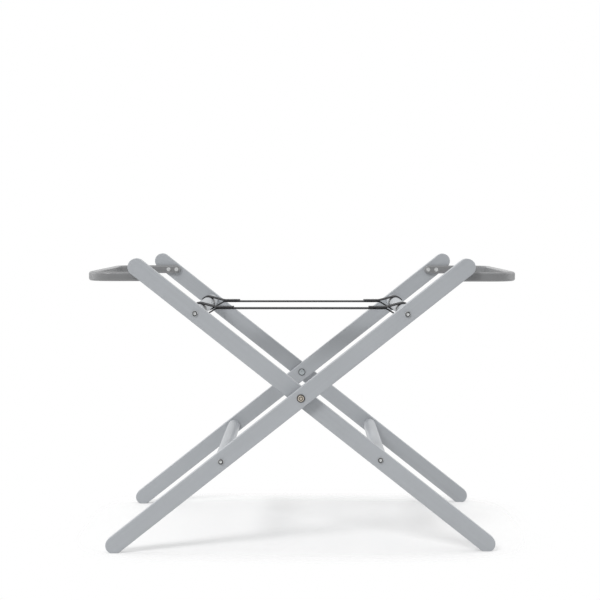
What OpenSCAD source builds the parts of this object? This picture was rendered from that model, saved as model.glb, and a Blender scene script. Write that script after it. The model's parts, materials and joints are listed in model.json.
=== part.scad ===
// Folding stand for a baby's carrying basket: two crossed wooden frames on a
// pair of pivots, held open by two webbing straps, with a bent hoop at each end.
// Millimetres, +Z up, origin on the floor under the middle of the stand.
// The right frame carries the hoop at +X. The left frame is the same frame
// turned half a turn about the vertical, so its front leg lies inside.

/* [Legs] */
// Width of a leg bar, seen from the front
leg_w = 30; // [24:1:40]
// Thickness of a leg bar, front to back
leg_t = 16; // [13:0.5:22]
// Pivot to the centre of the rounded top end
leg_up = 360; // [320:1:420]
// Pivot to the centre of the rounded foot
leg_down = 410; // [330:1:480]
// Slope of an open leg from the floor, in degrees
leg_slope = 38.4; // [34:0.1:46]
// Rounding of the long edges
leg_ease = 2; // [1:0.25:4]
// Depth planed off the rounded foot so that it stands flat
foot_cut = 2; // [1:0.25:4]

/* [Frame] */
// Clear width between the two inner legs, front to back
cradle_w = 400; // [340:1:460]
// Thickness of the washer between two crossing legs
washer_t = 1.5; // [1:0.25:3]
// Outside diameter of that washer
washer_d = 20; // [16:0.5:26]

/* [Rails] */
// Diameter of the round rails
rail_d = 24; // [18:0.5:30]
// Pivot to the upper rail, along the leg
rail_up = 232; // [190:1:280]
// Pivot to the lower rail, along the leg
rail_down = 175; // [120:1:260]

/* [Hoops] */
// Height of the bent band
hoop_h = 16; // [12:0.5:20]
// Thickness of the bent band
hoop_t = 8; // [6:0.5:11]
// Middle of the stand to the outer face of a hoop's end
hoop_reach = 372; // [345:1:430]
// Outer radius of a hoop's corners
hoop_corner = 45; // [25:1:60]
// Rounding of the band's long edges
hoop_ease = 2.5; // [1:0.25:2.75]
// Centre of the leg's rounded top down to the hoop's fixing, along the leg
hoop_drop = 27; // [20:1:60]
// Distance between the two screws of one hoop arm
screw_pitch = 16; // [12:0.5:20]

/* [Straps] */
// Width of the webbing
strap_w = 40; // [25:1:60]
// Thickness of one layer of webbing
strap_t = 2.2; // [1.2:0.1:3]
// Middle of the stand to the middle of a strap, front to back
strap_y = 115; // [60:1:150]
// Rail centre to the point where the loop round it closes
strap_neck = 31; // [26:0.5:45]
// Height of that point over the rail's centre
strap_rise = 4.5; // [0:0.5:8]
// Length of the sewn lap beside each loop
strap_lap = 30; // [20:1:90]

/* [Rail bolts] */
// Thread diameter of a rail bolt
bolt_d = 6; // [5:0.5:8]
// Diameter of its head
bolt_head_d = 10.5; // [9:0.25:13]
// Height of its head
bolt_head_h = 3.3; // [2.5:0.1:5]
// Hexagon socket of its head, across the flats
bolt_hex = 4; // [3:0.5:5]
// Depth of that socket
bolt_hex_depth = 2; // [1:0.1:2.3]
// Length of thread inside the insert
bolt_grip = 16; // [10:0.5:18]
// Outside diameter of a threaded insert
insert_d = 10; // [9:0.25:13]
// Length of a threaded insert
insert_l = 20; // [19:0.5:30]

/* [Hoop screws] */
// Shank diameter of a hoop screw
screw_d = 4; // [3:0.25:5]
// Diameter of its countersunk head
screw_head_d = 8; // [7:0.25:9]
// Whole length of the screw
screw_l = 19; // [15:0.5:22]
// Length of its point
screw_tip = 3; // [2:0.25:4]
// Width of the cross slot in its head
screw_slot_w = 1; // [0.6:0.1:1.4]
// Depth of the cross slot
screw_slot_depth = 1.2; // [0.6:0.1:1.6]

/* [Pivots] */
// Outside diameter of the sleeve nut's barrel
pivot_d = 9; // [8:0.25:12]
// Thread diameter of the pivot bolt
pivot_bolt_d = 6; // [4:0.25:6.5]
// Diameter of the pivot's bolt head and nut head
pivot_head_d = 14; // [13:0.25:20]
// Height of the bolt head
pivot_head_h = 2.6; // [2:0.1:4]
// Height of the sleeve nut's head
pivot_cap_h = 2.2; // [1.6:0.1:4]
// Hexagon socket of the pivot bolt, across the flats
pivot_hex = 5; // [4:0.5:6]
// Depth of that socket
pivot_hex_depth = 1.8; // [1:0.1:1.9]
// How far the barrel stops short of the outer leg's face
barrel_short = 2; // [1:0.25:5]
// Length of the pivot bolt's thread
pivot_bolt_l = 24; // [15:0.5:26]

/* [Clearances] */
// Radial running clearance of the barrel in the legs
run_fit = 0.05; // [0.02:0.01:0.1]
// Radial clearance of a bolt or screw in its hole
hole_fit = 0.2; // [0.1:0.05:0.4]
// Radial clearance of an insert in its rail
insert_fit = 0.05; // [0.02:0.01:0.1]
// Play on each side of a turning face at the pivots
pivot_play = 0.1; // [0.05:0.05:0.3]
// Gap between a strap and the rail inside it
strap_gap = 0.3; // [0.2:0.05:0.8]
// Gap between the two layers of a sewn lap
lap_gap = 0.1; // [0.05:0.05:0.3]

/* [Hidden] */
$fn = 64;
HEX = 6;
LOOP_STEPS = 24;
RIGHT = 0;
LEFT = 180;
FRONT = -1;
REAR = 1;
over = 1;
paint = "#A3AAAD";
hoop_paint = "#8A8F92";
zinc = "#C4C6C8";
brass = "#A58B5C";
webbing = "#2B2C30";
nylon = "#D8D8D2";

pivot_z = leg_down * sin(leg_slope) + leg_w / 2 - foot_cut;
layer_gap = washer_t + 2 * pivot_play;
inner_y = cradle_w / 2;
outer_y = inner_y + leg_t + layer_gap;
outside_y = outer_y + leg_t;
rail_x = rail_up * cos(leg_slope);
rail_z = pivot_z + rail_up * sin(leg_slope);
hoop_at = leg_up - hoop_drop;
hoop_x = hoop_at * cos(leg_slope);
hoop_z = pivot_z + hoop_at * sin(leg_slope);
hoop_end_x = hoop_x - screw_pitch / 2;
hoop_bend_x = hoop_reach - hoop_corner;
shank_l = leg_t + bolt_grip;
pilot_depth = screw_l - hoop_t + over;
screw_cone = (screw_head_d - screw_d) / 2;
loop_r = rail_d / 2 + strap_gap + strap_t / 2;
layer_pitch = strap_t + lap_gap;
barrel_l = 2 * leg_t + layer_gap - barrel_short;

// A rectangle with rounded corners, centred.
module eased_section(w, h, r) {
    square([w - 2 * r, h], center = true);
    square([w, h - 2 * r], center = true);
    for (x = [-1, 1], y = [-1, 1])
        translate([x * (w / 2 - r), y * (h / 2 - r)])
            circle(r);
}

// A straight eased bar along +X from the origin: h tall, t deep.
module eased_bar(l, h, t, r) {
    rotate([90, 0, 90])
        linear_extrude(l)
            eased_section(t, h, r);
}

// The rounded end of an eased bar, towards +X or, turned, towards -X.
module eased_end(h, t, r, turned = false) {
    rotate([90, 0, 0])
        rotate([0, 0, turned ? 90 : -90])
            rotate_extrude(angle = 180)
                intersection() {
                    eased_section(h, t, r);
                    translate([0, -t])
                        square([h, 2 * t]);
                }
}

// Carries a piece to a place along the right frame's sloping legs.
module along_leg(r) {
    translate([0, 0, pivot_z])
        rotate([0, -leg_slope, 0])
            translate([r, 0, 0])
                children();
}

// Points a piece that is made along +Z from the outside towards the middle.
module inwards(out) {
    rotate([out * 90, 0, 0])
        children();
}

// Distance from the middle to the inner face of the right frame's front or rear leg.
function face_y(out) = out == FRONT ? outer_y : inner_y;

// One leg of the right frame: a painted wooden bar with its bores and planed foot.
module leg(out) {
    color(paint)
        difference() {
            translate([0, out * (face_y(out) + leg_t / 2), 0])
                along_leg(0) {
                    translate([-leg_down, 0, 0])
                        eased_bar(leg_up + leg_down, leg_w, leg_t, leg_ease);
                    translate([leg_up, 0, 0])
                        eased_end(leg_w, leg_t, leg_ease);
                    translate([-leg_down, 0, 0])
                        eased_end(leg_w, leg_t, leg_ease, turned = true);
                }
            translate([-leg_down - leg_w, out * (face_y(out) + leg_t / 2) - leg_t, -leg_w])
                cube([leg_down + leg_w, 2 * leg_t, leg_w]);
            pivot_bore(out);
            for (r = [rail_up, -rail_down])
                rail_bolt_hole(out, r);
            for (k = [-1, 1])
                hoop_pilot(out, k);
        }
}

module pivot_bore(out) {
    translate([0, out * (face_y(out) + leg_t + over), 0])
        along_leg(0)
            inwards(out)
                cylinder(h = leg_t + 2 * over, r = pivot_d / 2 + run_fit);
}

module rail_bolt_hole(out, r) {
    translate([0, out * (face_y(out) + leg_t + over), 0])
        along_leg(r)
            inwards(out)
                cylinder(h = leg_t + 2 * over, r = bolt_d / 2 + hole_fit);
}

module hoop_pilot(out, k) {
    translate([hoop_x + k * screw_pitch / 2, out * (face_y(out) + pilot_depth), hoop_z])
        inwards(out)
            cylinder(h = pilot_depth + over, r = screw_d / 2 + hole_fit);
}

// A round rail between the two legs of the right frame, bored at its ends.
module rail(r) {
    color(paint)
        along_leg(r)
            difference() {
                translate([0, -outer_y, 0])
                    inwards(FRONT)
                        cylinder(h = outer_y + inner_y, d = rail_d);
                for (out = [FRONT, REAR])
                    translate([0, out * (face_y(out) + over), 0])
                        inwards(out)
                            cylinder(h = insert_l + over, r = insert_d / 2 + insert_fit);
            }
}

// Button-head bolts through the legs into the rail ends.
module rail_bolts() {
    color(zinc)
        for (out = [FRONT, REAR], r = [rail_up, -rail_down])
            translate([0, out * (face_y(out) + leg_t + bolt_head_h), 0])
                along_leg(r)
                    inwards(out)
                        socket_bolt(bolt_head_d, bolt_head_h, bolt_d, shank_l, bolt_hex, bolt_hex_depth);
}

// A bolt along +Z from the top of its rounded head, with a hexagon socket.
module socket_bolt(head_d, head_h, d, l, hex, hex_depth) {
    crown = head_h / 2;
    difference() {
        rotate_extrude() {
            translate([0, crown])
                square([head_d / 2, head_h - crown]);
            square([head_d / 2 - crown, head_h]);
            intersection() {
                translate([head_d / 2 - crown, crown])
                    circle(crown);
                square([head_d, head_h]);
            }
            square([d / 2, head_h + l]);
        }
        translate([0, 0, -over])
            cylinder(h = over + hex_depth, d = hex / cos(180 / HEX), $fn = HEX);
    }
}

// Threaded inserts in the rail ends.
module rail_inserts() {
    color(brass)
        for (out = [FRONT, REAR], r = [rail_up, -rail_down])
            translate([0, out * face_y(out), 0])
                along_leg(r)
                    inwards(out)
                        difference() {
                            cylinder(h = insert_l, d = insert_d);
                            translate([0, 0, -over])
                                cylinder(h = insert_l + 2 * over, r = bolt_d / 2 + hole_fit);
                        }
}

// The bent band round one end of the cradle, fixed inside the leg tops.
module hoop() {
    color(hoop_paint)
        difference() {
            translate([0, 0, hoop_z]) {
                for (out = [FRONT, REAR]) {
                    translate([hoop_end_x, out * (face_y(out) - hoop_t / 2), 0]) {
                        eased_bar(hoop_bend_x - hoop_end_x, hoop_h, hoop_t, hoop_ease);
                        eased_end(hoop_h, hoop_t, hoop_ease, turned = true);
                    }
                    translate([hoop_bend_x, out * (face_y(out) - hoop_corner), 0])
                        rotate([0, 0, out == FRONT ? -90 : 0])
                            rotate_extrude(angle = 90)
                                translate([hoop_corner - hoop_t / 2, 0])
                                    eased_section(hoop_t, hoop_h, hoop_ease);
                }
                translate([hoop_reach - hoop_t / 2, -outer_y + hoop_corner, 0])
                    rotate([-90, 0, 0])
                        linear_extrude(outer_y + inner_y - 2 * hoop_corner)
                            eased_section(hoop_t, hoop_h, hoop_ease);
            }
            for (out = [FRONT, REAR], k = [-1, 1])
                screw_place(out, k) {
                    translate([0, 0, -over])
                        cylinder(h = hoop_t + 2 * over, r = screw_d / 2 + hole_fit);
                    countersink();
                }
        }
}

// Carries a piece to a hoop screw's place, along +Z from the band into the leg.
module screw_place(out, k) {
    translate([hoop_x + k * screw_pitch / 2, out * (face_y(out) - hoop_t), hoop_z])
        inwards(-out)
            children();
}

module countersink() {
    rotate_extrude()
        polygon([
            [0, -over],
            [screw_head_d / 2 + hole_fit + over, -over],
            [screw_d / 2 + hole_fit, screw_cone],
            [0, screw_cone]
        ]);
}

// Countersunk wood screws that hold the hoop to its legs.
module hoop_screws() {
    color(zinc)
        for (out = [FRONT, REAR], k = [-1, 1])
            screw_place(out, k)
                difference() {
                    rotate_extrude()
                        polygon([
                            [0, 0],
                            [screw_head_d / 2, 0],
                            [screw_d / 2, screw_cone],
                            [screw_d / 2, screw_l - screw_tip],
                            [0, screw_l]
                        ]);
                    for (turn = [0, 90])
                        rotate([0, 0, turn])
                            cube([screw_head_d / 2, screw_slot_w, 2 * screw_slot_depth], center = true);
                }
}

// Pivot bolt through both front legs, its head on the outer one.
module pivot_bolt() {
    color(brass)
        translate([0, -outside_y - pivot_play - pivot_head_h, pivot_z])
            inwards(FRONT)
                socket_bolt(
                    pivot_head_d, pivot_head_h, pivot_bolt_d, pivot_play + pivot_bolt_l, pivot_hex, pivot_hex_depth
                );
}

// Sleeve nut from the inner leg's face: a domed cap and a barrel that the legs turn on.
module pivot_nut() {
    color(zinc)
        translate([0, -inner_y + pivot_play, pivot_z])
            inwards(REAR)
                difference() {
                    union() {
                        cylinder(h = pivot_play + barrel_l, d = pivot_d);
                        mirror([0, 0, 1])
                            rotate_extrude() {
                                square([pivot_head_d / 2 - pivot_cap_h, pivot_cap_h]);
                                intersection() {
                                    translate([pivot_head_d / 2 - pivot_cap_h, 0])
                                        circle(pivot_cap_h);
                                    square([pivot_head_d, pivot_cap_h]);
                                }
                            }
                    }
                    translate([0, 0, pivot_play + leg_t / 2])
                        cylinder(h = barrel_l, r = pivot_bolt_d / 2 + hole_fit);
                }
}

// Plain washer between the crossing legs.
module pivot_washer() {
    color(nylon)
        translate([0, -outer_y + pivot_play, pivot_z])
            inwards(FRONT)
                difference() {
                    cylinder(h = washer_t, d = washer_d);
                    translate([0, 0, -over])
                        cylinder(h = washer_t + 2 * over, r = pivot_d / 2 + hole_fit);
                }
}

// Unit vector across a path at its point i, to the left of its direction.
function across(path, i) =
    let (
        a = path[max(i - 1, 0)],
        b = path[min(i + 1, len(path) - 1)],
        d = (b - a) / norm(b - a)
    )
    [-d.y, d.x];

// Outline of a ribbon of thickness t along a path.
function ribbon(path, t) =
    let (last = len(path) - 1)
    [
        for (i = [0 : last]) path[i] + t / 2 * across(path, i),
        for (i = [last : -1 : 0]) path[i] - t / 2 * across(path, i)
    ];

// Direction in which a line from the point p touches the loop's circle, above (1) or below (-1).
function touch(p, k) = atan2(p.y, p.x) + k * acos(loop_r / norm(p));

// Middle of the webbing from the end of the lap, over the neck, round the left rail and back to the neck.
function loop_path() =
    let (
        low = [strap_neck, strap_rise - layer_pitch / 2],
        high = [strap_neck, strap_rise + layer_pitch / 2],
        from = touch(high, 1),
        to = touch(low, -1) + 360
    )
    [
        [strap_neck + strap_lap, high.y],
        high,
        for (i = [0 : LOOP_STEPS]) loop_r * unit(from + (to - from) * i / LOOP_STEPS),
        low
    ];

function unit(a) = [cos(a), sin(a)];

// A webbing strap looped round both upper rails, each loop closed by a sewn lap.
module strap(side) {
    left = [for (p = loop_path()) p - [rail_x, 0]];
    right = [for (i = [len(left) - 1 : -1 : 0]) [-left[i].x, left[i].y]];
    color(webbing)
        translate([0, side * strap_y + strap_w / 2, rail_z])
            rotate([90, 0, 0])
                linear_extrude(strap_w)
                    polygon(ribbon(concat(left, right), strap_t));
}

module turned(side) {
    rotate([0, 0, side])
        children();
}

turned(LEFT) leg(REAR);  // left_front_leg
turned(LEFT) leg(FRONT);  // left_rear_leg
turned(LEFT) rail(rail_up);  // left_upper_rail
turned(LEFT) rail(-rail_down);  // left_lower_rail
turned(LEFT) hoop();  // left_hoop
turned(LEFT) rail_bolts();  // left_rail_bolts
turned(LEFT) rail_inserts();  // left_rail_inserts
turned(LEFT) hoop_screws();  // left_hoop_screws
turned(RIGHT) leg(FRONT);  // right_front_leg
turned(RIGHT) leg(REAR);  // right_rear_leg
turned(RIGHT) rail(rail_up);  // right_upper_rail
turned(RIGHT) rail(-rail_down);  // right_lower_rail
turned(RIGHT) hoop();  // right_hoop
turned(RIGHT) rail_bolts();  // right_rail_bolts
turned(RIGHT) rail_inserts();  // right_rail_inserts
turned(RIGHT) hoop_screws();  // right_hoop_screws
turned(RIGHT) pivot_bolt();  // front_pivot_bolt
turned(RIGHT) pivot_nut();  // front_pivot_nut
turned(RIGHT) pivot_washer();  // front_pivot_washer
turned(LEFT) pivot_bolt();  // rear_pivot_bolt
turned(LEFT) pivot_nut();  // rear_pivot_nut
turned(LEFT) pivot_washer();  // rear_pivot_washer
strap(FRONT);  // front_strap
strap(REAR);  // rear_strap
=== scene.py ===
import json
import math
import bmesh
import bpy
import numpy as np
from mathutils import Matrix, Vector


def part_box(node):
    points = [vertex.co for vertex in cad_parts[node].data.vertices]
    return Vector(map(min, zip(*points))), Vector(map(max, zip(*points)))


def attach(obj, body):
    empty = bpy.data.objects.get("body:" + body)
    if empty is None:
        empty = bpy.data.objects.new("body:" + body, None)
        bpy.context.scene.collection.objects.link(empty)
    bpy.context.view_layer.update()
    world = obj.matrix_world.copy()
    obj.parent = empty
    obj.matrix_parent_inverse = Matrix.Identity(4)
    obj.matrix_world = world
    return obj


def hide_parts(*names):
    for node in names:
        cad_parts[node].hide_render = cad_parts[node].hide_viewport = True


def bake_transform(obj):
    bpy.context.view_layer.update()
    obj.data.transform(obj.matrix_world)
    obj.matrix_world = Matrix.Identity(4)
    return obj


# A folding stand for a baby's carrying basket. Metres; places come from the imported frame.
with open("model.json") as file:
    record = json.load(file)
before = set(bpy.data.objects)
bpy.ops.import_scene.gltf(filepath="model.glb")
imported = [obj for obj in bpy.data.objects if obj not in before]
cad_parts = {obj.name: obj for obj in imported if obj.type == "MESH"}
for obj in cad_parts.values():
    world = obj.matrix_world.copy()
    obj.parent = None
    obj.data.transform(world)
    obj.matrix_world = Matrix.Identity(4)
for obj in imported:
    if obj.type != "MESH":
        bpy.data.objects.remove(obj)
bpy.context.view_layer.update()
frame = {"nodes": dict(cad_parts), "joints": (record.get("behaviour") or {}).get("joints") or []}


# Legs: four bars of planed beech with round ends and eased edges, sprayed satin light grey. Each is drilled
# for the pivot, for two rail bolts and, from inside, for two hoop screws, and planed flat at the foot.
LEG_WIDTH = 0.030
LEG_EASE = 0.0014
LEG_STEPS = 40
LEG_GRAIN_STEP = 1.7
BOLT_HOLE = 0.0032
PIVOT_BORE = 0.00455
SCREW_HEAD = 0.004
SCREW_HOLE = 0.0022
PILOT_DEPTH = 0.012
DRILL_OVER = 0.001
WELD = 1e-6
PAINT_RELIEF = 0.00022
LIGHT_GREY = (0.366, 0.383, 0.403, 1.0)
PIVOT = np.array(frame["joints"][0]["pos_m"])
FRAMES = {"left": "left_frame", "right": "right_frame"}


def box(node):
    """Lowest and highest corner of a node as arrays."""
    return tuple(np.array(corner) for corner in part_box(node))


def eased_stave(low, high, width, thickness, ease, along_steps, round_steps=36, ease_steps=6):
    """Grid of a flat stave with round ends, in its own axes: along, across and through.

    The first parameter goes once round the outline, which is a line from low to high moved out by
    half the width, so that each end is half a circle. The second goes over the edge, from the
    middle of one face to the middle of the other: out along the face, round a quarter circle of
    radius ease, straight over the edge, round another quarter circle and back. Returns the points
    and the share of the eased edge at each."""
    bend = np.linspace(math.pi / 2, -math.pi / 2, round_steps + 1)
    run = np.linspace(0, 1, along_steps + 1)[1:-1]
    spine = np.concatenate([
        np.full(bend.size, high), high + (low - high) * run,
        np.full(bend.size, low), low + (high - low) * run, [high],
    ])
    angle = np.concatenate([
        bend, np.full(run.size, -math.pi / 2),
        bend - math.pi, np.full(run.size, -1.5 * math.pi), [-1.5 * math.pi],
    ])
    quarter = np.linspace(0, math.pi / 2, ease_steps + 1)
    flat = width / 2 - ease
    out = np.concatenate([[0], flat + ease * np.sin(quarter), flat + ease * np.cos(quarter), [0]])
    side = thickness / 2 - ease
    through = np.concatenate([
        [-thickness / 2], -side - ease * np.cos(quarter), side + ease * np.sin(quarter), [thickness / 2],
    ])
    edge_share = np.concatenate([[0], np.sin(2 * quarter), np.sin(2 * quarter), [0]])
    along = spine[:, None] + np.cos(angle)[:, None] * out
    across = np.sin(angle)[:, None] * out
    stave = np.stack([along, across, np.broadcast_to(through, along.shape)], axis=-1)
    return stave, np.broadcast_to(edge_share, along.shape)


def stave_maps(stave, edge_share, shift=0.0):
    """UV maps of a stave: grain holds along and across, depth holds through and the eased edge."""
    return {
        "grain": np.stack([stave[..., 0] + shift, stave[..., 1]], axis=-1),
        "depth": np.stack([stave[..., 2], edge_share], axis=-1),
    }


def lay_mesh(name, patches):
    """Mesh of grids of points with their UV maps. Each point is joined to its next along both
    parameters, points that coincide are merged, which closes seams and poles, and faces are turned out."""
    points = np.concatenate([grid.reshape(-1, 3) for grid, _ in patches])
    quads, start = [], 0
    for grid, _ in patches:
        rows, columns = grid.shape[:2]
        index = start + np.arange(rows * columns).reshape(rows, columns)
        corners = [index[:-1, :-1], index[:-1, 1:], index[1:, 1:], index[1:, :-1]]
        quads.append(np.stack(corners, axis=-1).reshape(-1, 4))
        start += rows * columns
    quads = np.concatenate(quads)
    mesh = bpy.data.meshes.new(name)
    mesh.from_pydata(points.tolist(), [], quads.tolist())
    for key in patches[0][1]:
        values = np.concatenate([maps[key].reshape(-1, 2) for _, maps in patches])
        layer = mesh.uv_layers.new(name=key)
        layer.data.foreach_set("uv", values[quads.ravel()].astype(np.float32).ravel())
    merged = bmesh.new()
    merged.from_mesh(mesh)
    bmesh.ops.remove_doubles(merged, verts=merged.verts, dist=WELD)
    bmesh.ops.recalc_face_normals(merged, faces=merged.faces)
    merged.to_mesh(mesh)
    merged.free()
    return mesh


def lay_piece(name, patches):
    """Object of such a mesh at the origin, smooth but for its corners."""
    piece = bpy.data.objects.new(name, lay_mesh(name, patches))
    bpy.context.scene.collection.objects.link(piece)
    smooth(piece.data)
    return piece


def smooth(mesh, corner=math.radians(32)):
    """Smooth shading, with edges sharper than the corner angle kept sharp."""
    mesh.shade_smooth()
    mesh.set_sharp_from_angle(angle=corner)


def turned(profile, centre, out, sides=48):
    """Patch of a turned shape about a line along Y through the centre.

    The profile is rows of distance outwards along the line and radius; the second parameter goes
    once round. A third number in a row, where it isn't 0, makes that ring a hexagon whose flats
    lie at the radius. out is the sense of outwards along Y."""
    profile = np.array([tuple(row) + (0,) * (3 - len(row)) for row in profile], float)
    round_it = np.linspace(0, 2 * math.pi, sides + 1)
    sector = math.pi / 3
    hexagon = 1 / np.cos((round_it + sector / 2) % sector - sector / 2)
    radius = profile[:, 1:2] * np.where(profile[:, 2:3] > 0, hexagon, 1.0)
    grid = np.stack([
        centre[0] + radius * np.cos(round_it),
        np.broadcast_to(centre[1] + out * profile[:, :1], radius.shape),
        centre[2] + radius * np.sin(round_it),
    ], axis=-1)
    length = np.concatenate([[0], np.cumsum(np.hypot(*np.diff(profile[:, :2], axis=0).T))])
    grain = np.stack(np.broadcast_arrays(length[:, None], round_it * profile[:, 1:2].max()), axis=-1)
    depth = np.stack(np.broadcast_arrays(profile[:, :1], radius), axis=-1)
    return grid, {"grain": grain, "depth": depth}


def bored(piece, cutters):
    """Takes the cutters' solids out of a piece, as a drill does, and deletes them."""
    for cutter in cutters:
        bore = piece.modifiers.new("bore", "BOOLEAN")
        bore.operation = "DIFFERENCE"
        bore.solver = "EXACT"
        bore.object = cutter
    depsgraph = bpy.context.evaluated_depsgraph_get()
    mesh = bpy.data.meshes.new_from_object(piece.evaluated_get(depsgraph))
    piece.modifiers.clear()
    mesh.name = piece.data.name + "_bored"
    piece.data = mesh
    smooth(mesh)
    for cutter in cutters:
        bpy.data.objects.remove(cutter)
    return piece


def even_normals(piece):
    """Keeps the flats flat in the shading beside the eased edges."""
    weighted = piece.modifiers.new("even_normals", "WEIGHTED_NORMAL")
    weighted.keep_sharp = True


class Tree:
    """A node tree and a short way to add nodes to it and join them."""

    def __init__(self, tree):
        self.tree = tree

    def add(self, kind, **settings):
        node = self.tree.nodes.new(kind)
        for key, value in settings.items():
            setattr(node, key, value)
        return node

    def put(self, node, **sockets):
        """Joins or sets a node's inputs: a socket's name is its label with _ for a space, or _ and
        its number."""
        for key, value in sockets.items():
            label = int(key[1:]) if key[0] == "_" else key.replace("_", " ")
            socket = node.inputs[label]
            if isinstance(value, bpy.types.NodeSocket):
                self.tree.links.new(value, socket)
            else:
                socket.default_value = value
        return node

    def math(self, operation, a, b=0.0, c=0.0, clamp=False):
        node = self.add("ShaderNodeMath", operation=operation, use_clamp=clamp)
        return self.put(node, _0=a, _1=b, _2=c).outputs[0]

    def noise(self, vector, scale, detail=2.0, roughness=0.5):
        node = self.add("ShaderNodeTexNoise")
        self.put(node, Vector=vector, Scale=scale, Detail=detail, Roughness=roughness)
        return node.outputs["Fac"]

    def centred(self, share):
        """A share from 0 to 1 moved to lie about 0."""
        return self.math("SUBTRACT", share, 0.5)

    def stretch(self, vector, x, y, z):
        """The vector with its axes stretched."""
        node = self.add("ShaderNodeMapping")
        return self.put(node, Vector=vector, Scale=(x, y, z)).outputs[0]

    def tint(self, colour, amount):
        """The colour times 1 plus the amount."""
        node = self.add("ShaderNodeVectorMath", operation="SCALE")
        self.put(node, _0=colour, Scale=self.math("ADD", amount, 1.0))
        return node.outputs[0]


def new_group(name, inputs, outputs):
    """An empty shader node group with these sockets, and its tree, input and output nodes."""
    tree = bpy.data.node_groups.new(name, "ShaderNodeTree")
    for label, kind in inputs:
        tree.interface.new_socket(label, in_out="INPUT", socket_type=kind)
    for label, kind in outputs:
        tree.interface.new_socket(label, in_out="OUTPUT", socket_type=kind)
    kit = Tree(tree)
    return kit, kit.add("NodeGroupInput"), kit.add("NodeGroupOutput")


def sprayed_wood_group():
    """Sprayed paint over wood: faint streaks of grain along the piece, soft clouds of tone, the
    pebbling of sprayed lacquer and paler eased edges, partly thinner paint and partly a painted
    highlight. Marks are counted a metre, streaks and fibres along, across and through the piece."""
    streaks, fibres = (5.0, 190.0, 190.0), (34.0, 900.0, 900.0)
    clouds, pebbles = 7.0, 620.0
    streak_tone, cloud_tone = 0.18, 0.09
    cloud_gloss, pebble_gloss, edge_gloss = 0.10, 0.02, -0.8
    fibre_height, pebble_height = 0.15, 0.08
    kit, given, made = new_group(
        "sprayed_wood",
        [
            ("Colour", "NodeSocketColor"), ("Grain", "NodeSocketFloat"),
            ("Edge", "NodeSocketFloat"), ("Satin", "NodeSocketFloat"),
        ],
        [("Colour", "NodeSocketColor"), ("Roughness", "NodeSocketFloat"), ("Height", "NodeSocketFloat")],
    )
    grain = kit.add("ShaderNodeUVMap", uv_map="grain")
    depth = kit.add("ShaderNodeUVMap", uv_map="depth")
    lie = kit.put(kit.add("ShaderNodeSeparateXYZ"), Vector=grain.outputs[0])
    into = kit.put(kit.add("ShaderNodeSeparateXYZ"), Vector=depth.outputs[0])
    place = kit.put(kit.add("ShaderNodeCombineXYZ"), X=lie.outputs[0], Y=lie.outputs[1], Z=into.outputs[0])
    place = place.outputs[0]
    surface = kit.add("ShaderNodeTexCoord").outputs["Object"]
    streak = kit.centred(kit.noise(kit.stretch(place, *streaks), 1.0, detail=4.0, roughness=0.62))
    fibre = kit.noise(kit.stretch(place, *fibres), 1.0)
    cloud = kit.centred(kit.noise(place, clouds))
    pebble = kit.centred(kit.noise(surface, pebbles, detail=1.0))
    # Where Edge is above 0 the eased edges are paler: partly thinner paint, partly a painted highlight.
    edge_share = kit.math("MULTIPLY", into.outputs[1], given.outputs["Edge"])
    lines = kit.math("MULTIPLY", streak, given.outputs["Grain"])
    tone = kit.math("MULTIPLY_ADD", cloud, cloud_tone, edge_share)
    tone = kit.math("MULTIPLY_ADD", lines, streak_tone, tone)
    kit.put(made, Colour=kit.tint(given.outputs["Colour"], tone))
    gloss = kit.math("MULTIPLY_ADD", cloud, cloud_gloss, given.outputs["Satin"])
    gloss = kit.math("MULTIPLY_ADD", pebble, pebble_gloss, gloss)
    kit.put(made, Roughness=kit.math("MULTIPLY_ADD", edge_share, edge_gloss, gloss, clamp=True))
    ridge = kit.math("MULTIPLY_ADD", fibre, fibre_height, streak)
    ridge = kit.math("MULTIPLY", ridge, given.outputs["Grain"])
    kit.put(made, Height=kit.math("MULTIPLY_ADD", pebble, pebble_height, ridge))
    return kit.tree


def new_material(name):
    """A material with a Principled shader, its tree and that shader."""
    material = bpy.data.materials.new(name)
    material.use_nodes = True
    material.node_tree.nodes.clear()
    kit = Tree(material.node_tree)
    shader = kit.add("ShaderNodeBsdfPrincipled")
    kit.put(kit.add("ShaderNodeOutputMaterial"), Surface=shader.outputs[0])
    return material, kit, shader


def bump(kit, shader, height, distance, strength):
    """Raises the surface by the height times the distance, at that strength."""
    raised = kit.put(kit.add("ShaderNodeBump"), Height=height, Distance=distance, Strength=strength)
    kit.put(shader, Normal=raised.outputs["Normal"])


def sprayed_paint(name, colour, grain, edge, satin, relief):
    """Paint on wood in one colour, with more or less of the grain showing through, paler eased edges
    (thinner paint and a painted highlight), satin and relief."""
    material, kit, shader = new_material(name)
    coat = kit.add("ShaderNodeGroup", node_tree=SPRAYED_WOOD)
    kit.put(coat, Colour=colour, Grain=grain, Edge=edge, Satin=satin)
    kit.put(shader, Base_Color=coat.outputs["Colour"], Roughness=coat.outputs["Roughness"])
    bump(kit, shader, coat.outputs["Height"], PAINT_RELIEF, strength=relief)
    return material


def fit(piece, material, body, slot, *nodes):
    """Gives a piece its finish and its place: the body it rides on and the nodes that it stands for."""
    piece.data.materials.clear()
    piece.data.materials.append(material)
    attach(piece, body)
    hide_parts(*nodes)


SPRAYED_WOOD = sprayed_wood_group()
LEG_PAINT = sprayed_paint("light_grey_paint", LIGHT_GREY, grain=0.8, edge=0.0, satin=0.40, relief=0.3)


def leg_ends(node):
    """Foot and top of a leg's middle line, in X and Z. The top lies half a width inside the box, and
    the foot on the line from there through the pivot."""
    low, high = box(node)
    half = LEG_WIDTH / 2
    leans_right = node.startswith("right")
    top_x = high[0] - half if leans_right else low[0] + half
    foot_x = low[0] + half if leans_right else high[0] - half
    top = np.array([top_x, high[2] - half])
    rise = (top[1] - PIVOT[2]) / (top[0] - PIVOT[0])
    return np.array([foot_x, PIVOT[2] + rise * (foot_x - PIVOT[0])]), top


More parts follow.
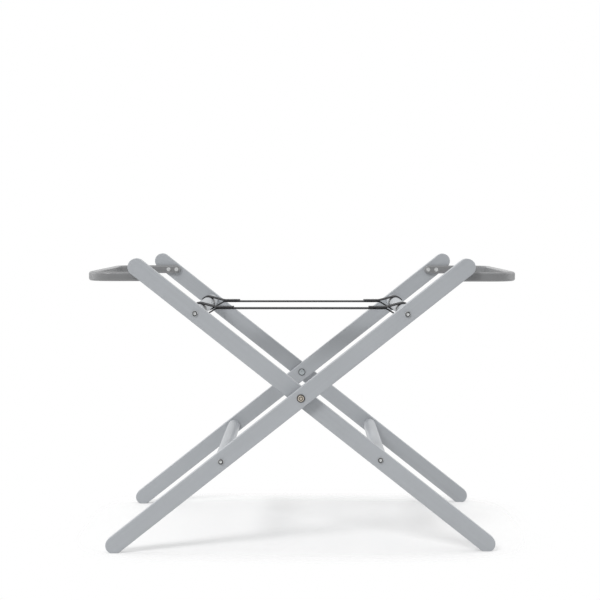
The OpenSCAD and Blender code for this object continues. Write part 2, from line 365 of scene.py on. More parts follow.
def leg_patch(node, shift):
    """A stave laid along the leg's middle line, with what would lie under the floor planed off."""
    foot, top = leg_ends(node)
    low, high = box(node)
    length = np.linalg.norm(top - foot)
    along = (top - foot) / length
    stave, edge_share = eased_stave(0.0, length, LEG_WIDTH, high[1] - low[1], LEG_EASE, LEG_STEPS)
    x = foot[0] + stave[..., 0] * along[0] - stave[..., 1] * along[1]
    z = foot[1] + stave[..., 0] * along[1] + stave[..., 1] * along[0]
    y = (low[1] + high[1]) / 2 + stave[..., 2]
    grid = np.stack([x, y, np.maximum(z, 0.0)], axis=-1)
    return grid, stave_maps(stave, edge_share, shift)


def drill(name, profile, centre, out):
    """A turned cutter, without UV worth keeping."""
    return lay_piece(name, [turned(profile, centre, out)])


def screw_places(side):
    """X of both screws of a hoop's tail, and their height."""
    low, high = box(f"{side}_hoop_screws")
    return (low[0] + SCREW_HEAD, high[0] - SCREW_HEAD), (low[2] + high[2]) / 2


def leg_cutters(side, node):
    """The drills of one leg: right through it the pivot bore and a hole for each rail bolt, and from its
    inner face a blind hole for each hoop screw."""
    low, high = box(node)
    depth = high[1] - low[1] + DRILL_OVER

    def through(name, radius, centre):
        profile = [(-DRILL_OVER, 0), (-DRILL_OVER, radius), (depth, radius), (depth, 0)]
        return drill(name, profile, (centre[0], low[1], centre[2]), 1)

    cutters = [through("pivot_drill", PIVOT_BORE, PIVOT)]
    for level in ("upper", "lower"):
        cutters.append(through("bolt_drill", BOLT_HOLE, sum(box(f"{side}_{level}_rail")) / 2))
    face, out = (high[1], -1) if "front" in node else (low[1], 1)
    pilot = [(-DRILL_OVER, 0), (-DRILL_OVER, SCREW_HOLE), (PILOT_DEPTH, SCREW_HOLE), (PILOT_DEPTH, 0)]
    places, height = screw_places(side)
    for x in places:
        cutters.append(drill("pilot_drill", pilot, (x, face, height), out))
    return cutters


LEGS = [(side, place) for side in FRAMES for place in ("front", "rear")]
for number, (side, place) in enumerate(LEGS):
    node = f"{side}_{place}_leg"
    leg = lay_piece(f"{node}_bar", [leg_patch(node, shift=LEG_GRAIN_STEP * number)])
    bored(leg, leg_cutters(side, node))
    even_normals(leg)
    fit(leg, LEG_PAINT, FRAMES[side], "grey_paint", node)


# Rails: four turned beech dowels, two between the legs of each frame, sprayed like the legs.
# Their ends are bored for the inserts, butt against the legs and are drawn up by the rail bolts.
RAIL_EASE = 0.0008
RAIL_GRAIN_STEP = 0.9
INSERT_BORE = 0.00505
INSERT_DEPTH = 0.020
RAIL_SIDES = 96
RAIL_PAINT = sprayed_paint(
    "light_grey_rail_paint", LIGHT_GREY, grain=0.6, edge=0.0, satin=0.40, relief=0.12
)


def rail_profile(length, radius):
    """A dowel from the bore in its rear end to that in its front end, with both rims rounded."""
    rim = radius - RAIL_EASE
    quarter = np.linspace(0, math.pi / 2, 5)
    rear = [(RAIL_EASE * (1 - math.cos(a)), rim + RAIL_EASE * math.sin(a)) for a in quarter]
    rear = [(INSERT_DEPTH, 0), (INSERT_DEPTH, INSERT_BORE), (0, INSERT_BORE)] + rear
    return rear + [(length - along, reach) for along, reach in reversed(rear)]


RAILS = [(side, level) for side in FRAMES for level in ("upper", "lower")]
for number, (side, level) in enumerate(RAILS):
    node = f"{side}_{level}_rail"
    low, high = box(node)
    middle = (low + high) / 2
    profile = rail_profile(high[1] - low[1], (high[0] - low[0]) / 2)
    grid, maps = turned(profile, (middle[0], high[1], middle[2]), -1, RAIL_SIDES)
    maps["grain"] = maps["grain"] + np.array([RAIL_GRAIN_STEP * number, 0.0])
    maps["depth"] = maps["depth"] * 0.0
    rail = lay_piece(f"{node}_dowel", [(grid, maps)])
    even_normals(rail)
    fit(rail, RAIL_PAINT, FRAMES[side], "grey_paint", node)


# Hoops: a thin laminated band steamed to a U round each end of the cradle, in a darker grey.
# Its rounded tails lie inside the leg tops, each held by two countersunk screws.
HOOP_THICKNESS = 0.008
HOOP_CORNER = 0.045
HOOP_EASE = 0.0037
HOOP_STEPS = 320
HOOP_END_STEPS = 24
HOOP_GRAIN_STEP = 2.3
SCREW_CONE = 0.002
HEAD_ROOM = 0.0002
DARK_GREY = (0.180, 0.182, 0.186, 1.0)
# Its eased edges are paler, partly thinner paint and partly a painted highlight along the rims.
HOOP_PAINT = sprayed_paint("hoop_paint", DARK_GREY, grain=2.4, edge=0.26, satin=0.42, relief=0.12)


def bent_round(stave, arm, cross, radius):
    """Bends a straight stave to a U lying flat: an arm, a quarter circle, a cross piece, a quarter
    circle and an arm. A point keeps its distance along the middle line, and its depth through the
    stave becomes its distance outwards from that line. The first arm runs along +X from the origin
    with +Y to its left; returns X, Y and the height across."""
    along, across, through = np.moveaxis(stave, -1, 0)
    quarter = radius * math.pi / 2
    turn = np.clip((along - arm) / quarter, 0, 1)
    turn = turn + np.clip((along - arm - quarter - cross) / quarter, 0, 1)
    angle = turn * math.pi / 2
    first = np.minimum(along, arm)
    across_run = np.clip(along - arm - quarter, 0, cross)
    last = np.maximum(along - arm - 2 * quarter - cross, 0)
    early, late = np.minimum(angle, math.pi / 2), np.maximum(angle - math.pi / 2, 0)
    x = first + radius * np.sin(early) - radius * (1 - np.cos(late)) - last
    y = radius * (1 - np.cos(early)) + across_run + radius * np.sin(late)
    return x + through * np.sin(angle), y - through * np.cos(angle), across


def hoop_patch(node, shift):
    """The band of one hoop, mirrored to the left for the left frame."""
    low, high = box(node)
    height = high[2] - low[2]
    radius = HOOP_CORNER - HOOP_THICKNESS / 2
    arm = high[0] - low[0] - HOOP_CORNER - height / 2
    cross = high[1] - low[1] - 2 * HOOP_CORNER
    length = 2 * arm + cross + math.pi * radius
    stave, edge_share = eased_stave(
        0.0, length, height, HOOP_THICKNESS, HOOP_EASE, HOOP_STEPS, HOOP_END_STEPS
    )
    x, y, z = bent_round(stave, arm, cross, radius)
    y = low[1] + HOOP_THICKNESS / 2 + y
    x = low[0] + height / 2 + x if node.startswith("right") else high[0] - height / 2 - x
    return np.stack([x, y, (low[2] + high[2]) / 2 + z], axis=-1), stave_maps(stave, edge_share, shift)


def hoop_cutters(side):
    """Countersunk holes, from the inner face of each tail outwards, at the screws' places."""
    low, high = box(f"{side}_hoop")
    rim = SCREW_HEAD + HEAD_ROOM + DRILL_OVER
    end = HOOP_THICKNESS + DRILL_OVER
    profile = [
        (-DRILL_OVER, 0), (-DRILL_OVER, rim), (SCREW_CONE, SCREW_HOLE), (end, SCREW_HOLE), (end, 0),
    ]
    cutters = []
    places, height = screw_places(side)
    for out, face in ((-1, low[1] + HOOP_THICKNESS), (1, high[1] - HOOP_THICKNESS)):
        for x in places:
            cutters.append(drill("screw_drill", profile, (x, face, height), out))
    return cutters


for number, side in enumerate(FRAMES):
    node = f"{side}_hoop"
    hoop = lay_piece(f"{node}_band", [hoop_patch(node, shift=HOOP_GRAIN_STEP * number)])
    bored(hoop, hoop_cutters(side))
    even_normals(hoop)
    fit(hoop, HOOP_PAINT, FRAMES[side], "hoop_paint", node)


# Rail bolts: eight zinc-plated button heads with a hexagon socket, seated on the legs' outer faces.
# They screw into brass inserts inside the rail ends.
BOLT_HEAD_RADIUS = 0.00525
BOLT_HEAD_HEIGHT = 0.0033
BOLT_SHANK = 0.003
BOLT_HEX = 0.002
BOLT_HEX_DEPTH = 0.002
BOLT_THREAD = 0.032
PLATE_RELIEF = 0.00006
ZINC = (0.66, 0.67, 0.67, 1.0)
ZINC_DULL = (0.016, 0.016, 0.017, 1.0)
BRASS = (0.58, 0.43, 0.21, 1.0)
BRASS_DULL = (0.20, 0.14, 0.07, 1.0)


def plated_metal_group():
    """Plated metal: a bright and a dull colour mixed by soft blotches of patina, by painted shade from the
    rim radius outwards and by a painted dark ring round the socket, at that radius and that far to either
    side, both standing in for shadow gaps and dark reflections, with a rougher, less metallic skin where
    it is dull and a matt floor inside the socket, held at the bright colour as a painted highlight.
    Blotches and flecks are counted a metre, and so is how fast each edge of the painted shade sets in."""
    blotches, flecks = 420.0, 2600.0
    rim_onset, ring_onset, floor_onset = 1600.0, 2500.0, -4000.0
    blotch_share, fleck_height = 1.4, 0.6
    bright_skin, fleck_skin, dull_skin, floor_skin = 0.16, 0.16, 0.22, 0.4
    dull_metal = -0.9
    kit, given, made = new_group(
        "plated_metal",
        [
            ("Bright", "NodeSocketColor"), ("Dull", "NodeSocketColor"), ("Patina", "NodeSocketFloat"),
            ("Rim", "NodeSocketFloat"), ("Socket", "NodeSocketFloat"), ("Spread", "NodeSocketFloat"),
        ],
        [
            ("Colour", "NodeSocketColor"), ("Roughness", "NodeSocketFloat"),
            ("Metal", "NodeSocketFloat"), ("Height", "NodeSocketFloat"),
        ],
    )
    place = kit.add("ShaderNodeTexCoord").outputs["Object"]
    depth = kit.add("ShaderNodeUVMap", uv_map="depth")
    radius = kit.put(kit.add("ShaderNodeSeparateXYZ"), Vector=depth.outputs[0]).outputs[1]
    blotch = kit.noise(place, blotches, detail=3.0, roughness=0.6)
    fleck = kit.noise(place, flecks)
    # Painted shade: the dull colour past the rim radius and in a ring round the socket stands in for shadow
    # gaps and dark reflections.
    past_rim = kit.math("SUBTRACT", radius, given.outputs["Rim"])
    past_rim = kit.math("MULTIPLY", past_rim, rim_onset, clamp=True)
    past_ring = kit.math("SUBTRACT", radius, given.outputs["Socket"])
    short = kit.math("SUBTRACT", given.outputs["Spread"], kit.math("ABSOLUTE", past_ring))
    at_ring = kit.math("MULTIPLY_ADD", short, ring_onset, 0.5, clamp=True)
    # The socket floor is held at the bright colour, a painted highlight.
    within = kit.math("ADD", past_ring, given.outputs["Spread"])
    inside = kit.math("MULTIPLY", within, floor_onset, clamp=True)
    painted_shade = kit.math("ADD", at_ring, past_rim)
    cloudy = kit.math("MULTIPLY_ADD", kit.centred(blotch), blotch_share, given.outputs["Patina"])
    dull = kit.math("SUBTRACT", kit.math("ADD", cloudy, painted_shade), inside, clamp=True)
    mixed = kit.add("ShaderNodeMix", data_type="RGBA")
    kit.put(mixed, _0=dull, _6=given.outputs["Bright"], _7=given.outputs["Dull"])
    kit.put(made, Colour=mixed.outputs[2])
    skin = kit.math("MULTIPLY_ADD", fleck, fleck_skin, bright_skin)
    skin = kit.math("MULTIPLY_ADD", dull, dull_skin, skin)
    kit.put(made, Roughness=kit.math("MULTIPLY_ADD", inside, floor_skin, skin))
    kit.put(made, Metal=kit.math("MULTIPLY_ADD", dull, dull_metal, 1.0))
    kit.put(made, Height=kit.math("MULTIPLY_ADD", fleck, fleck_height, blotch))
    return kit.tree


def plated_metal(name, bright, dull, patina, rim=1.0, socket=-1.0, spread=0.0):
    """A plated finish between its bright and dull colours, with the head's rim radius and the
    radius and half width of the ring round its socket, where the dull colour is painted shade.
    Left out, rim and ring lie off the head."""
    material, kit, shader = new_material(name)
    plating = kit.add("ShaderNodeGroup", node_tree=PLATED_METAL)
    kit.put(plating, Bright=bright, Dull=dull, Patina=patina, Rim=rim, Socket=socket, Spread=spread)
    kit.put(shader, Base_Color=plating.outputs["Colour"], Roughness=plating.outputs["Roughness"])
    kit.put(shader, Metallic=plating.outputs["Metal"])
    bump(kit, shader, plating.outputs["Height"], PLATE_RELIEF, strength=0.4)
    return material


PLATED_METAL = plated_metal_group()
# The dark ring round each rail bolt's socket is painted shade, a dark reflection drawn into the colour.
ZINC_PLATE = plated_metal("zinc_plate", ZINC, ZINC_DULL, patina=0.0, socket=0.0035, spread=0.0010)
INSERT_BRASS = plated_metal("insert_brass", BRASS, BRASS_DULL, patina=0.1)


def socket_head(radius, height, flats, depth, shank, length):
    """Profile of a button-head bolt, outwards from the seat of its head: the drilled bottom of the
    socket, its six walls, a broken edge, the crown, which is a quarter of an ellipse from the flat
    round the socket down to a low upright rim, the seat and the shank."""
    edge, flat_share, rim_share = 0.0003, 1.35, 0.3
    drill_depth, drill_width = 0.35, 0.75
    flat, rim = flats * flat_share, height * rim_share
    floor = height - depth
    quarter = np.linspace(math.pi / 2, 0, 11)
    crown = [(rim + (height - rim) * math.sin(a), flat + (radius - flat) * math.cos(a)) for a in quarter]
    return [
        (floor - flats * drill_depth, 0), (floor, flats * drill_width), (floor, flats, 1),
        (height - edge, flats, 1), (height, flats + edge, 1), *crown,
        (edge / 2, radius), (0, radius - edge / 2), (0, shank),
        (-length + shank / 2, shank), (-length, shank / 2), (-length, 0),
    ]


BOLT_PROFILE = socket_head(
    BOLT_HEAD_RADIUS, BOLT_HEAD_HEIGHT, BOLT_HEX, BOLT_HEX_DEPTH, BOLT_SHANK, BOLT_THREAD
)
for side in FRAMES:
    node = f"{side}_rail_bolts"
    low, high = box(node)
    heads = []
    for level in ("upper", "lower"):
        rail = sum(box(f"{side}_{level}_rail")) / 2
        for out, top in ((-1, low[1]), (1, high[1])):
            heads.append(turned(BOLT_PROFILE, (rail[0], top - out * BOLT_HEAD_HEIGHT, rail[2]), out))
    bolts = lay_piece(f"{node}_set", heads)
    fit(bolts, ZINC_PLATE, FRAMES[side], "zinc_steel", node)
    inserts = frame["nodes"][f"{side}_rail_inserts"]
    inserts.data.materials.clear()
    inserts.data.materials.append(INSERT_BRASS)


# Hoop screws: eight countersunk zinc wood screws, driven from inside the band into the leg tops.
# Only their cross-slotted heads show, flush with the band.
SCREW_ZINC = plated_metal("screw_zinc", ZINC, ZINC_DULL, patina=0.12)
for side in FRAMES:
    screws = frame["nodes"][f"{side}_hoop_screws"]
    screws.data.materials.clear()
    screws.data.materials.append(SCREW_ZINC)


# Pivots: a brass-plated bolt through each crossing screws into a sleeve nut with a domed zinc cap,
# on whose barrel both legs turn. A nylon washer keeps the painted faces apart.
PIVOT_HEAD_RADIUS = 0.007
PIVOT_HEX = 0.0025
PIVOT_HEX_DEPTH = 0.0018
PIVOT_HEAD_HEIGHT = 0.0026
PIVOT_SHANK = 0.003
CAP_HEIGHT = 0.0022
BARREL_RADIUS = 0.0045
NUT_BORE = 0.0032
NUT_FLOOR = 0.0081
WASHER_EASE = 0.0003
WASHER_SIDES = 64
NYLON = (0.70, 0.70, 0.66)
ANTIQUE_BRASS = (0.60, 0.545, 0.47, 1.0)
ANTIQUE_DARK = (0.020, 0.015, 0.010, 1.0)
CAP_GREY = (0.44, 0.475, 0.49, 1.0)
CAP_DARK = (0.02, 0.022, 0.024, 1.0)
# The dark band past the brass head's rim and the dark ring round its socket are painted shade; the blotchy
# patina is the brass's own.
PIVOT_BRASS = plated_metal(
    "antique_brass", ANTIQUE_BRASS, ANTIQUE_DARK, patina=0.18, rim=0.0049, socket=0.0029, spread=0.0006
)
# The dark band past the cap's rim is painted shade, an outline where the cap meets the leg.
CAP_ZINC = plated_metal("cap_zinc", CAP_GREY, CAP_DARK, patina=0.05, rim=0.0053)


def washer_nylon():
    """Natural nylon: a waxy off-white with faint moulding clouds, counted a metre."""
    clouds, cloud_tone, cloud_gloss, gloss, relief = 300.0, 0.12, 0.2, 0.45, 0.00005
    material, kit, shader = new_material("natural_nylon")
    place = kit.add("ShaderNodeTexCoord").outputs["Object"]
    cloud = kit.centred(kit.noise(place, clouds))
    kit.put(shader, Base_Color=kit.tint(NYLON, kit.math("MULTIPLY", cloud, cloud_tone)))
    kit.put(shader, Roughness=kit.math("MULTIPLY_ADD", cloud, cloud_gloss, gloss))
    bump(kit, shader, cloud, relief, strength=0.5)
    return material


WASHER_NYLON = washer_nylon()


def cap_profile(barrel_end):
    """A sleeve nut outwards from the seat of its cap: a low dome rounded at the rim, the seat, the barrel
    and the bore that takes the bolt."""
    quarter = np.linspace(0, math.pi / 2, 9)
    flat = PIVOT_HEAD_RADIUS - CAP_HEIGHT
    rim = [(CAP_HEIGHT * math.cos(a), flat + CAP_HEIGHT * math.sin(a)) for a in quarter]
    barrel = [(0, BARREL_RADIUS), (-barrel_end, BARREL_RADIUS)]
    bore = [(-barrel_end, NUT_BORE), (-NUT_FLOOR, NUT_BORE), (-NUT_FLOOR, 0)]
    return [(CAP_HEIGHT, 0), *rim, *barrel, *bore]


def washer_profile(thickness, bore, radius):
    """A flat ring with rounded rims, once round its section."""
    rim = WASHER_EASE
    return [
        (0, bore), (0, radius - rim), (rim, radius), (thickness - rim, radius),
        (thickness, radius - rim), (thickness, bore), (0, bore),
    ]


for place, out in (("front", -1), ("rear", 1)):
    low, high = box(f"{place}_pivot_bolt")
    seat = low[1] + PIVOT_HEAD_HEIGHT if out < 0 else high[1] - PIVOT_HEAD_HEIGHT
    shank = high[1] - low[1] - PIVOT_HEAD_HEIGHT
    profile = socket_head(
        PIVOT_HEAD_RADIUS, PIVOT_HEAD_HEIGHT, PIVOT_HEX, PIVOT_HEX_DEPTH, PIVOT_SHANK, shank
    )
    bolt = lay_piece(f"{place}_pivot_bolt_brass", [turned(profile, (PIVOT[0], seat, PIVOT[2]), out)])
    fit(bolt, PIVOT_BRASS, "left_frame", "brass", f"{place}_pivot_bolt")

    low, high = box(f"{place}_pivot_nut")
    seat = high[1] - CAP_HEIGHT if out < 0 else low[1] + CAP_HEIGHT
    profile = cap_profile(high[1] - low[1] - CAP_HEIGHT)
    nut = lay_piece(f"{place}_pivot_nut_cap", [turned(profile, (PIVOT[0], seat, PIVOT[2]), -out)])
    fit(nut, CAP_ZINC, "left_frame", "zinc_steel", f"{place}_pivot_nut")

    low, high = box(f"{place}_pivot_washer")
    profile = washer_profile(high[1] - low[1], BARREL_RADIUS + HEAD_ROOM, (high[0] - low[0]) / 2)
    ring = turned(profile, (PIVOT[0], low[1], PIVOT[2]), 1, WASHER_SIDES)
    washer = lay_piece(f"{place}_pivot_washer_ring", [ring])
    fit(washer, WASHER_NYLON, "left_frame", "nylon", f"{place}_pivot_washer")


# Straps: two lengths of black woven webbing, looped round both upper rails to stop the frames
# spreading. Each end is turned back over itself and sewn down with a box and cross of thread.
STRAP_THICKNESS = 0.0022
STRAP_GAP = 0.0003
STRAP_NECK = 0.031
STRAP_RISE = 0.0045
STRAP_LAP = 0.030
LAP_PITCH = 0.0023
STRAP_STEP = 0.0025
LOOP_POINTS = 49
STRAP_RIBS = 16
RIB_DEPTH = 0.00022
RIB_POINTS = 5
BEND_SOFTNESS = 0.002
WARP_PITCH = 0.00125
WEFT_PITCH = 0.0021
WEAVE_RELIEF = 0.00035
STRAP_BLACK = (0.014, 0.014, 0.016)


def loop_corners(rail_radius):
    """Middle of the webbing round the left rail, from its centre: from the end of the lap along
    over the neck, by a tangent to the circle round the rail, round it, and by a tangent to the neck."""
    circle = rail_radius + STRAP_GAP + STRAP_THICKNESS / 2
    low = np.array([STRAP_NECK, STRAP_RISE - LAP_PITCH / 2])
    high = np.array([STRAP_NECK, STRAP_RISE + LAP_PITCH / 2])

    def touch(point, above):
        return math.atan2(point[1], point[0]) + above * math.acos(circle / np.hypot(*point))

    swing = np.linspace(touch(high, 1), touch(low, -1) + 2 * math.pi, LOOP_POINTS)
    arc = circle * np.stack([np.cos(swing), np.sin(swing)], axis=-1)
    return np.concatenate([[high + (STRAP_LAP, 0)], [high], arc, [low]])


def even_steps(line, step):
    """The line again with points at even steps of about that length, and the distance to each."""
    along = np.concatenate([[0], np.cumsum(np.linalg.norm(np.diff(line, axis=0), axis=1))])
    at = np.linspace(0, along[-1], int(along[-1] / step) + 1)
    return np.stack([np.interp(at, along, line[:, k]) for k in range(2)], axis=-1), at


def softened(line, step, width):
    """The line with its corners rounded: each point becomes the mean of its neighbours, weighted by
    a bell curve of that width. The ends are carried on straight for this, so they stay in place."""
    reach = int(math.ceil(3 * width / step))
    bell = np.exp(-0.5 * (np.arange(-reach, reach + 1) * step / width) ** 2)
    bell /= bell.sum()
    before = line[0] - (line[1] - line[0]) * np.arange(reach, 0, -1)[:, None]
    after = line[-1] + (line[-1] - line[-2]) * np.arange(1, reach + 1)[:, None]
    longer = np.concatenate([before, line, after])
    return np.stack([np.convolve(longer[:, k], bell, "valid") for k in range(2)], axis=-1)


def strap_line():
    """Middle of the webbing over its whole length in X and Z, the right half a mirror of the left."""
    rail_low, rail_high = box("left_upper_rail")
    centre = (rail_low + rail_high) / 2
    left = loop_corners((rail_high[0] - rail_low[0]) / 2) + centre[[0, 2]]
    right = left[::-1] * (-1, 1)
    line, _ = even_steps(np.concatenate([left, right]), STRAP_STEP / 2)
    return even_steps(softened(line, STRAP_STEP / 2, BEND_SOFTNESS), STRAP_STEP)


def strap_patch(line, along, width, middle):
    """Webbing carried along the line. Its section is a flattened ring: half the thickness at the
    middle, falling to 0 at the rounded selvedges, with a row of ribs that stand along the webbing.
    The last ring at each end closes on the middle of the section."""
    crowding, squareness = 1.15, 14
    share = np.linspace(-1, 1, STRAP_RIBS * RIB_POINTS + 1)
    share = np.sign(share) * (1 - (1 - np.abs(share)) ** crowding)
    body = STRAP_THICKNESS / 2 * (1 - np.abs(share) ** squareness) ** 0.5
    ribs = RIB_DEPTH * (0.5 - 0.5 * np.cos(math.pi * STRAP_RIBS * (share + 1)))
    half = body - ribs * (body > STRAP_THICKNESS / 4)
    across = np.concatenate([share, share[::-1][1:]]) * width / 2
    through = np.concatenate([half, -half[::-1][1:]])
    ahead = np.gradient(line, axis=0)
    ahead /= np.linalg.norm(ahead, axis=1)[:, None]
    normal = np.stack([-ahead[:, 1], ahead[:, 0]], axis=-1)
    closed = np.concatenate([[0], np.ones(len(line)), [0]])
    line, normal, along = (np.concatenate([a[:1], a, a[-1:]]) for a in (line, normal, along))
    offset = closed[:, None] * through
    x = line[:, :1] + normal[:, :1] * offset
    z = line[:, 1:] + normal[:, 1:] * offset
    grid = np.stack([x, np.broadcast_to(middle + across, x.shape), z], axis=-1)
    weave = np.stack(np.broadcast_arrays(across, along[:, None]), axis=-1)
    return grid, {"weave": weave}


def webbing():
    """Black webbing: warp ribs and weft picks pass over and under in turn, so the height is the
    rounded top of whichever thread lies above; the colour is darker where the weave lies low, painted
    shade between the threads, it varies a little in tone with the fibres, and fibres add sheen."""
    fibres, fibre_height, weft_height = (5200.0, 900.0, 1.0), 0.35, 0.85
    tone_rise, tone_base, fibre_gloss, gloss = 0.9, -0.55, 0.2, 0.55
    material, kit, shader = new_material("black_webbing")
    weave = kit.add("ShaderNodeUVMap", uv_map="weave")
    place = kit.put(kit.add("ShaderNodeSeparateXYZ"), Vector=weave.outputs[0])
    warp = kit.math("MULTIPLY", place.outputs[0], 1 / WARP_PITCH)
    weft = kit.math("MULTIPLY", place.outputs[1], 1 / WEFT_PITCH)
    over = kit.math("ADD", kit.math("FLOOR", warp), kit.math("FLOOR", weft))
    over = kit.math("PINGPONG", over, 1.0)
    warp_top = kit.math("ABSOLUTE", kit.math("SINE", kit.math("MULTIPLY", warp, math.pi)))
    weft_top = kit.math("ABSOLUTE", kit.math("SINE", kit.math("MULTIPLY", weft, math.pi)))
    height = kit.add("ShaderNodeMix", data_type="FLOAT")
    kit.put(height, _0=over, _2=warp_top, _3=kit.math("MULTIPLY", weft_top, weft_height))
    fibre = kit.noise(kit.stretch(weave.outputs[0], *fibres), 1.0)
    lift = kit.math("MULTIPLY_ADD", fibre, fibre_height, height.outputs[0])
    # Painted shade: the colour darkens where the weave lies low, between the threads.
    tone = kit.math("MULTIPLY_ADD", lift, tone_rise, tone_base)
    kit.put(shader, Base_Color=kit.tint(STRAP_BLACK, tone))
    kit.put(shader, Roughness=kit.math("MULTIPLY_ADD", fibre, fibre_gloss, gloss))
    kit.put(shader, Sheen_Weight=0.06, Sheen_Roughness=0.4, Specular_IOR_Level=0.3)
    bump(kit, shader, lift, WEAVE_RELIEF, strength=0.8)
    return material


WEBBING = webbing()
LINE, LINE_ALONG = strap_line()
STITCH_PITCH = 0.0034
STITCH_LENGTH = 0.0027
STITCH_RADIUS = 0.00034
STITCH_INSET = 0.005
STITCH_RINGS = 6
STITCH_SIDES = 6
PLY_PITCH = 0.0009
PLY_RELIEF = 0.00012
STITCH_BLACK = (0.050, 0.051, 0.055)


def stitch_rows(width):
    """Centres and directions of the stitches of one lap, from the neck along it and from the middle
    across: a box and its two diagonals, each line divided evenly."""
    near, far, side = STITCH_INSET, STRAP_LAP - STITCH_INSET, width / 2 - STITCH_INSET
    corners = [(near, -side), (far, -side), (far, side), (near, side)]
    lines = [(corners[k], corners[(k + 1) % 4]) for k in range(4)]
    lines += [(corners[0], corners[2]), (corners[1], corners[3])]
    centres, directions = [], []
    for start, end in np.array(lines):
        length = np.linalg.norm(end - start)
        count = int(length / STITCH_PITCH)
        share = (np.arange(count) + 0.5) / count
        centres.append(start + share[:, None] * (end - start))
        directions.append(np.broadcast_to((end - start) / length, (count, 2)))
    return np.concatenate(centres), np.concatenate(directions)


def stitch_patches(width, middle):
    """Stitches as slim ellipsoids: the first parameter runs from tip to tip, the second round the
    thread. They lie half sunk in both faces of both laps."""
    centre = sum(box("left_upper_rail")) / 2
    level = centre[2] + STRAP_RISE
    face = LAP_PITCH / 2 + STRAP_THICKNESS / 2 - RIB_DEPTH / 2
    spots, ways = (rows[:, :, None, None] for rows in stitch_rows(width))
    tip = np.linspace(0, math.pi, STITCH_RINGS)[:, None]
    around = np.linspace(0, 2 * math.pi, STITCH_SIDES + 1)
    run = STITCH_LENGTH / 2 * np.cos(tip) * np.ones_like(around)
    aside = STITCH_RADIUS * np.sin(tip) * np.cos(around)
    up = STITCH_RADIUS * np.sin(tip) * np.sin(around)
    x = centre[0] + STRAP_NECK + spots[:, 0] + ways[:, 0] * run - ways[:, 1] * aside
    y = middle + spots[:, 1] + ways[:, 1] * run + ways[:, 0] * aside
    twist = np.stack(np.broadcast_arrays(run, around), axis=-1)
    patches = []
    for mirror in (1, -1):
        for height in (level + face, level - face):
            grids = np.stack([mirror * x, y, np.broadcast_to(height + up, x.shape)], axis=-1)
            patches += [(grid, {"twist": twist}) for grid in grids]
    return patches


def thread():
    """Bonded black thread: two plies twisted together, a little glossier than the webbing."""
    tone_rise, tone_base, ply_gloss, gloss = 0.8, -0.4, -0.15, 0.5
    material, kit, shader = new_material("black_thread")
    twist = kit.add("ShaderNodeUVMap", uv_map="twist")
    place = kit.put(kit.add("ShaderNodeSeparateXYZ"), Vector=twist.outputs[0])
    spiral = kit.math("MULTIPLY_ADD", place.outputs[0], 2 * math.pi / PLY_PITCH, place.outputs[1])
    ply = kit.math("SINE", kit.math("MULTIPLY", spiral, 2.0))
    ply = kit.math("MULTIPLY_ADD", ply, 0.5, 0.5)
    # Painted shade: the colour is darker in the grooves between the plies.
    tone = kit.math("MULTIPLY_ADD", ply, tone_rise, tone_base)
    kit.put(shader, Base_Color=kit.tint(STITCH_BLACK, tone))
    kit.put(shader, Roughness=kit.math("MULTIPLY_ADD", ply, ply_gloss, gloss))
    bump(kit, shader, ply, PLY_RELIEF, strength=0.7)
    return material


THREAD = thread()
for place in ("front", "rear"):
    node = f"{place}_strap"
    low, high = box(node)
    width, middle = high[1] - low[1], (low[1] + high[1]) / 2
    rail = sum(box("left_upper_rail")) / 2
    strap = lay_piece(f"{node}_webbing", [strap_patch(LINE, LINE_ALONG, width, middle)])
    strap.data.materials.append(WEBBING)
    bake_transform(strap)
    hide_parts(node)
    stitches = lay_piece(f"{node}_stitching", stitch_patches(width, middle))
    stitches.data.materials.append(THREAD)
    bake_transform(stitches)


# Floor and light: a plain white studio sweep, lit by a large soft box from the front left and a weak one at
# each side. The floor takes the stand's shadow near it and lets the white world show through further out.
FLOOR_HALF = 1.9
FLOOR_PALE = (0.8, 0.8, 0.8, 1.0)
FLOOR_GLOW = 0.03
FADE_WIDE = 0.46
FADE_DEEP = 0.33
FADE_NEAR = 0.66
STUDIO_DIM = 0.38
STUDIO_FRONT = -0.95
STUDIO_BACK = -0.05
KEY_PLACE = (-4.3, -6.6, 7.05)
KEY_SIZE = 3.0
KEY_POWER = 470.0
SIDE_PLACE = (3.4, 0.4, 1.0)
SIDE_SIZE = 2.0
SIDE_POWER = 25.0
AIM = (0.0, 0.0, 0.25)


def seen_directly(kit):
    """1 for what the camera sees, straight or in a reflection or through something clear."""
    path = kit.add("ShaderNodeLightPath")
    seen = kit.math("MAXIMUM", path.outputs["Is Camera Ray"], path.outputs["Is Glossy Ray"])
    return kit.math("MAXIMUM", seen, path.outputs["Is Transmission Ray"])


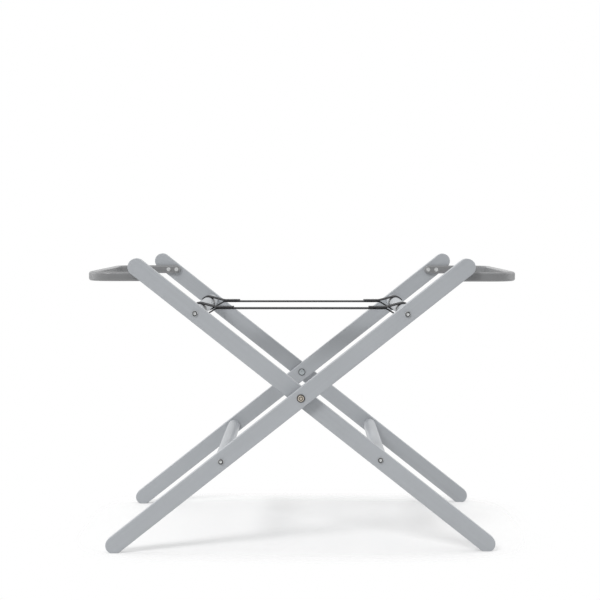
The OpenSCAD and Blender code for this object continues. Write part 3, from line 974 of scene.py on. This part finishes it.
def studio_floor():
    """White floor that fades into the white world as the camera sees it, from a share of the way to the
    edge of a rounded rectangle about the stand; the distance is the fourth root of x and y to the fourth."""
    material = bpy.data.materials.new("studio_floor")
    material.use_nodes = True
    material.node_tree.nodes.clear()
    kit = Tree(material.node_tree)
    surface = kit.add("ShaderNodeTexCoord").outputs["Object"]
    place = kit.stretch(surface, 1 / FADE_WIDE, 1 / FADE_DEEP, 1.0)
    squared = kit.put(kit.add("ShaderNodeVectorMath", operation="MULTIPLY"), _0=place, _1=place)
    reach = kit.put(kit.add("ShaderNodeVectorMath", operation="LENGTH"), _0=squared.outputs[0])
    distance = kit.math("SQRT", reach.outputs["Value"])
    fade = kit.add("ShaderNodeMapRange", interpolation_type="SMOOTHSTEP")
    kit.put(fade, Value=distance, From_Min=FADE_NEAR, From_Max=1.0, To_Min=0.0, To_Max=1.0)
    seen = seen_directly(kit)
    clear = kit.math("MULTIPLY", fade.outputs[0], seen)
    pale = kit.put(kit.add("ShaderNodeBsdfDiffuse"), Color=FLOOR_PALE)
    glow = kit.put(kit.add("ShaderNodeEmission"), Strength=kit.math("MULTIPLY", seen, FLOOR_GLOW))
    lit = kit.put(kit.add("ShaderNodeAddShader"), _0=pale.outputs[0], _1=glow.outputs[0])
    open_air = kit.add("ShaderNodeBsdfTransparent")
    mixed = kit.put(kit.add("ShaderNodeMixShader"), _0=clear, _1=lit.outputs[0], _2=open_air.outputs[0])
    kit.put(kit.add("ShaderNodeOutputMaterial"), Surface=mixed.outputs[0])
    return material


corner = np.array([-FLOOR_HALF, FLOOR_HALF])
sheet = np.stack([*np.meshgrid(corner, corner), np.zeros((2, 2))], axis=-1)
floor_mesh = bpy.data.meshes.new("floor")
floor_mesh.from_pydata(sheet.reshape(-1, 3).tolist(), [], [(0, 1, 3, 2)])
floor_mesh.materials.append(studio_floor())
floor = bpy.data.objects.new("floor", floor_mesh)
bpy.context.scene.collection.objects.link(floor)


def area_light(name, place, size, power):
    """A square soft box turned towards the stand."""
    lamp = bpy.data.lights.new(name, "AREA")
    lamp.size = size
    lamp.energy = power
    box_light = bpy.data.objects.new(name, lamp)
    bpy.context.scene.collection.objects.link(box_light)
    box_light.location = place
    away = Vector(place) - Vector(AIM)
    box_light.rotation_euler = away.to_track_quat("Z", "Y").to_euler()


area_light("key_box", KEY_PLACE, KEY_SIZE, KEY_POWER)
for name, across in (("left_box", -1), ("right_box", 1)):
    area_light(name, (across * SIDE_PLACE[0], *SIDE_PLACE[1:]), SIDE_SIZE, SIDE_POWER)

world = bpy.data.worlds.new("white_studio")
world.use_nodes = True
world.node_tree.nodes.clear()
world_kit = Tree(world.node_tree)
backdrop = world_kit.add("ShaderNodeBackground")
heading = world_kit.add("ShaderNodeTexCoord").outputs["Generated"]
depth = world_kit.put(world_kit.add("ShaderNodeSeparateXYZ"), Vector=heading).outputs[1]
behind = world_kit.add("ShaderNodeMapRange", interpolation_type="SMOOTHSTEP")
world_kit.put(behind, Value=depth, From_Min=STUDIO_FRONT, From_Max=STUDIO_BACK)
world_kit.put(behind, To_Min=STUDIO_DIM, To_Max=1.0)
level = world_kit.math("MAXIMUM", behind.outputs[0], seen_directly(world_kit))
world_kit.put(backdrop, Color=(1.0, 1.0, 1.0, 1.0), Strength=level)
world_kit.put(world_kit.add("ShaderNodeOutputWorld"), Surface=backdrop.outputs[0])
bpy.context.scene.world = world
bpy.context.scene.view_settings.view_transform = "Standard"


# Camera: level with the cradle, square to the front and looking slightly down.
CAMERA_PLACE = (0.01098, -2.61358, 0.56194)
CAMERA_DOWN = math.radians(3.03)
CAMERA_LEFT = math.radians(0.30)
FOCAL_PIXELS, IMAGE_PIXELS, SENSOR = 1401.7, 600, 36.0

camera = bpy.data.objects.new("camera", bpy.data.cameras.new("camera"))
bpy.context.scene.collection.objects.link(camera)
camera.location = CAMERA_PLACE
camera.rotation_euler = (math.pi / 2 - CAMERA_DOWN, 0.0, CAMERA_LEFT)
camera.data.sensor_width = SENSOR
camera.data.lens = SENSOR * FOCAL_PIXELS / IMAGE_PIXELS
bpy.context.scene.camera = camera
